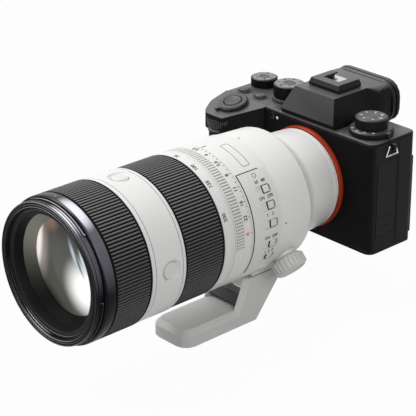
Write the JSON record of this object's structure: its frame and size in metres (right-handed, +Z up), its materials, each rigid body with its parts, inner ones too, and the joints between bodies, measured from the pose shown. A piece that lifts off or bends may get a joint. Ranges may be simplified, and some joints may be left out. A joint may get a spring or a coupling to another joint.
{
  "type": "mirrorless camera with telephoto zoom lens",
  "caption": "Black mirrorless camera body with a white telephoto zoom lens standing on its rotating tripod collar foot; rings, dials, buttons, doors and screen all move.",
  "frame": {"origin": "centre of the collar foot's flat underside, on the table", "axes": "+Z up, -Y the way the lens points, +X towards the port doors; the hand grip is at -X"},
  "size_m": [0.1361, 0.26, 0.1326],
  "materials": {
    "lens_white": "satin white paint",
    "lens_trim": "satin off-white",
    "knob_white": "satin off-white, ribbed rim",
    "black_rubber": "matt black",
    "brace_black": "matt black",
    "front_black": "semi-gloss black",
    "lens_glass": "coated, polished",
    "body_black": "fine textured black",
    "grip_rubber": "grained black covering",
    "control_black": "satin black",
    "dial_black": "knurled satin black",
    "monitor_black": "glossy black",
    "mount_orange": "orange-red anodised",
    "mount_steel": "bright",
    "sensor_unit": "dark carrier",
    "board_green": "solder mask",
    "battery_black": "matt black"
  },
  "bodies": {
    "collar": {"collar_ring": "lens_white", "foot": "lens_white", "foot_brace": "brace_black"},
    "lens": {"rear_barrel": "lens_white", "main_barrel": "lens_white", "button_band": "lens_white", "front_ring": "front_black", "front_element": "lens_glass"},
    "camera": {"front_shell": "body_black", "rear_cover": "body_black", "top_cover": "body_black", "base_plate": "body_black", "grip": "grip_rubber", "body_mount": "mount_steel", "mount_trim": "mount_orange", "image_sensor": "sensor_unit", "main_board": "board_green", "battery": "battery_black", "hot_shoe": "body_black", "eyecup": "black_rubber", "eyepiece": "lens_glass"},
    "zoom_sleeve": {"zoom_ring": "lens_white", "zoom_grip": "black_rubber"},
    "collar_knob": {"collar_knob": "knob_white"},
    "aperture_ring": {"aperture_ring": "lens_white"},
    "zoom_group": {"zoom_group": "lens_glass"},
    "focus_ring": {"focus_ring": "black_rubber"},
    "focus_group": {"focus_group": "lens_glass"},
    "hold_button_top": {"hold_button_top": "lens_trim"},
    "hold_button_left": {"hold_button_left": "lens_trim"},
    "hold_button_right": {"hold_button_right": "lens_trim"},
    "focus_switch": {"focus_switch": "lens_trim"},
    "override_switch": {"override_switch": "lens_trim"},
    "limit_switch": {"limit_switch": "lens_trim"},
    "stabiliser_switch": {"stabiliser_switch": "lens_trim"},
    "stabiliser_mode_switch": {"stabiliser_mode_switch": "lens_trim"},
    "shutter_button": {"shutter_button": "control_black"},
    "power_lever": {"power_lever": "control_black"},
    "front_dial": {"front_dial": "dial_black"},
    "rear_dial": {"rear_dial": "dial_black"},
    "exposure_dial": {"exposure_dial": "dial_black"},
    "mode_dial": {"mode_dial": "dial_black"},
    "drive_dial": {"drive_dial": "dial_black"},
    "focus_mode_lever": {"focus_mode_lever": "control_black"},
    "top_button_near": {"top_button_near": "control_black"},
    "top_button_far": {"top_button_far": "control_black"},
    "menu_button": {"menu_button": "control_black"},
    "af_on_button": {"af_on_button": "control_black"},
    "centre_button": {"centre_button": "control_black"},
    "control_wheel": {"control_wheel": "dial_black"},
    "joystick": {"joystick": "black_rubber"},
    "monitor_arm": {"monitor_arm": "control_black"},
    "monitor": {"monitor": "monitor_black"},
    "port_door": {"port_door": "control_black"},
    "terminal_door": {"terminal_door": "control_black"},
    "card_door": {"card_door": "control_black"},
    "battery_door": {"battery_door": "control_black"},
    "strap_ring_left": {"strap_ring_left": "mount_steel"},
    "strap_ring_right": {"strap_ring_right": "mount_steel"},
    "lens_release_button": {"lens_release_button": "control_black"}
  },
  "joints": [
    {"name": "collar_turn", "type": "hinge", "parent": "collar", "child": "lens", "pos_m": [0, 0.03775, 0.074], "axis": [0, -1, 0], "continuous": true},
    {"name": "bayonet_twist", "type": "hinge", "parent": "lens", "child": "camera", "pos_m": [0, 0.08375, 0.074], "axis": [0, 1, 0], "range_deg": [0, 60]},
    {"name": "clamp_knob", "type": "hinge", "parent": "collar", "child": "collar_knob", "pos_m": [0.03167, 0.03775, 0.04447], "axis": [0.7314, 0, -0.682], "continuous": true},
    {"name": "aperture_turn", "type": "hinge", "parent": "lens", "child": "aperture_ring", "pos_m": [0, -0.00765, 0.074], "axis": [0, -1, 0], "range_deg": [0, 65]},
    {"name": "zoom_turn", "type": "hinge", "parent": "lens", "child": "zoom_sleeve", "pos_m": [0, -0.03325, 0.074], "axis": [0, -1, 0], "range_deg": [0, 70]},
    {"name": "zoom_travel", "type": "slide", "parent": "lens", "child": "zoom_group", "axis": [0, -1, 0], "range_m": [0, 0.02]},
    {"name": "focus_turn", "type": "hinge", "parent": "lens", "child": "focus_ring", "pos_m": [0, -0.09025, 0.074], "axis": [0, -1, 0], "continuous": true},
    {"name": "focus_travel", "type": "slide", "parent": "lens", "child": "focus_group", "axis": [0, -1, 0], "range_m": [-0.006, 0.006]},
    {"name": "hold_button_top_press", "type": "slide", "parent": "lens", "child": "hold_button_top", "axis": [0, 0, -1], "range_m": [0, 0.0005], "stiffness_N_per_m": 600},
    {"name": "hold_button_left_press", "type": "slide", "parent": "lens", "child": "hold_button_left", "axis": [1, 0, 0], "range_m": [0, 0.0005], "stiffness_N_per_m": 600},
    {"name": "hold_button_right_press", "type": "slide", "parent": "lens", "child": "hold_button_right", "axis": [-1, 0, 0], "range_m": [0, 0.0005], "stiffness_N_per_m": 600},
    {"name": "focus_switch_slide", "type": "slide", "parent": "lens", "child": "focus_switch", "axis": [0, -1, 0], "range_m": [0, 0.005]},
    {"name": "override_switch_slide", "type": "slide", "parent": "lens", "child": "override_switch", "axis": [0, -1, 0], "range_m": [0, 0.005]},
    {"name": "limit_switch_slide", "type": "slide", "parent": "lens", "child": "limit_switch", "axis": [0, -1, 0], "range_m": [0, 0.005]},
    {"name": "stabiliser_switch_slide", "type": "slide", "parent": "lens", "child": "stabiliser_switch", "axis": [0, -1, 0], "range_m": [0, 0.005]},
    {"name": "stabiliser_mode_switch_slide", "type": "slide", "parent": "lens", "child": "stabiliser_mode_switch", "axis": [0, -1, 0], "range_m": [0, 0.005]},
    {"name": "shutter_press", "type": "slide", "parent": "camera", "child": "shutter_button", "axis": [0, 0.2385, -0.9711], "range_m": [0, 0.0008], "stiffness_N_per_m": 600},
    {"name": "power_turn", "type": "hinge", "parent": "camera", "child": "power_lever", "pos_m": [-0.0569, 0.07895, 0.10789], "axis": [0, -0.2385, 0.9711], "range_deg": [0, 30]},
    {"name": "front_dial_turn", "type": "hinge", "parent": "camera", "child": "front_dial", "pos_m": [-0.058, 0.06861, 0.10535], "axis": [0, -0.2385, 0.9711], "continuous": true},
    {"name": "rear_dial_turn", "type": "hinge", "parent": "camera", "child": "rear_dial", "pos_m": [-0.054, 0.11975, 0.103], "axis": [0, 0, 1], "continuous": true},
    {"name": "exposure_dial_turn", "type": "hinge", "parent": "camera", "child": "exposure_dial", "pos_m": [-0.0645, 0.11375, 0.114], "axis": [0, 0, 1], "range_deg": [-140, 140]},
    {"name": "mode_dial_turn", "type": "hinge", "parent": "camera", "child": "mode_dial", "pos_m": [-0.0344, 0.10635, 0.114], "axis": [0, 0, 1], "continuous": true},
    {"name": "drive_dial_turn", "type": "hinge", "parent": "camera", "child": "drive_dial", "pos_m": [0.0398, 0.10155, 0.114], "axis": [0, 0, 1], "continuous": true},
    {"name": "focus_mode_turn", "type": "hinge", "parent": "camera", "child": "focus_mode_lever", "pos_m": [0.0398, 0.10155, 0.112], "axis": [0, 0, 1], "range_deg": [-72, 0]},
    {"name": "top_button_near_press", "type": "slide", "parent": "camera", "child": "top_button_near", "axis": [0, 0, -1], "range_m": [0, 0.0006], "stiffness_N_per_m": 600},
    {"name": "top_button_far_press", "type": "slide", "parent": "camera", "child": "top_button_far", "axis": [0, 0, -1], "range_m": [0, 0.0006], "stiffness_N_per_m": 600},
    {"name": "menu_button_press", "type": "slide", "parent": "camera", "child": "menu_button", "axis": [0, -1, 0], "range_m": [0, 0.0006], "stiffness_N_per_m": 600},
    {"name": "af_on_button_press", "type": "slide", "parent": "camera", "child": "af_on_button", "axis": [0, -1, 0], "range_m": [0, 0.0006], "stiffness_N_per_m": 600},
    {"name": "centre_button_press", "type": "slide", "parent": "camera", "child": "centre_button", "axis": [0, -1, 0], "range_m": [0, 0.0006], "stiffness_N_per_m": 600},
    {"name": "control_wheel_turn", "type": "hinge", "parent": "camera", "child": "control_wheel", "pos_m": [-0.05, 0.12475, 0.065], "axis": [0, -1, 0], "continuous": true},
    {"name": "joystick_tilt", "type": "hinge", "parent": "camera", "child": "joystick", "pos_m": [-0.046, 0.12265, 0.088], "axis": [1, 0, 0], "range_deg": [-8, 8], "stiffness_Nm_per_rad": 0.02},
    {"name": "monitor_lift", "type": "hinge", "parent": "camera", "child": "monitor_arm", "pos_m": [0.014, 0.12475, 0.0418], "axis": [-1, 0, 0], "range_deg": [0, 41]},
    {"name": "monitor_tilt", "type": "hinge", "parent": "monitor_arm", "child": "monitor", "pos_m": [0.014, 0.12665, 0.092], "axis": [1, 0, 0], "range_deg": [0, 107]},
    {"name": "port_door_swing", "type": "hinge", "parent": "camera", "child": "port_door", "pos_m": [0.0554, 0.09145, 0.0789], "axis": [0, 0, -1], "range_deg": [0, 110]},
    {"name": "terminal_door_swing", "type": "hinge", "parent": "camera", "child": "terminal_door", "pos_m": [0.0554, 0.09145, 0.0544], "axis": [0, 0, -1], "range_deg": [0, 110]},
    {"name": "card_door_swing", "type": "hinge", "parent": "camera", "child": "card_door", "pos_m": [-0.0735, 0.11235, 0.073], "axis": [0, 0, 1], "range_deg": [0, 100]},
    {"name": "battery_door_swing", "type": "hinge", "parent": "camera", "child": "battery_door", "pos_m": [-0.0462, 0.0949, 0.0376], "axis": [0, -1, 0], "range_deg": [0, 110]},
    {"name": "strap_ring_left_swing", "type": "hinge", "parent": "camera", "child": "strap_ring_left", "pos_m": [0.0564, 0.10235, 0.1062], "axis": [0, -1, 0], "range_deg": [0, 100]},
    {"name": "strap_ring_right_swing", "type": "hinge", "parent": "camera", "child": "strap_ring_right", "pos_m": [-0.0745, 0.09575, 0.1062], "axis": [0, 1, 0], "range_deg": [0, 100]},
    {"name": "lens_release_press", "type": "slide", "parent": "camera", "child": "lens_release_button", "axis": [0, 1, 0], "range_m": [0, 0.0015], "stiffness_N_per_m": 800}
  ],
  "couplings": [
    {"joint": "zoom_travel", "follows": "zoom_turn", "m_per_rad": 0.01637}
  ]
}
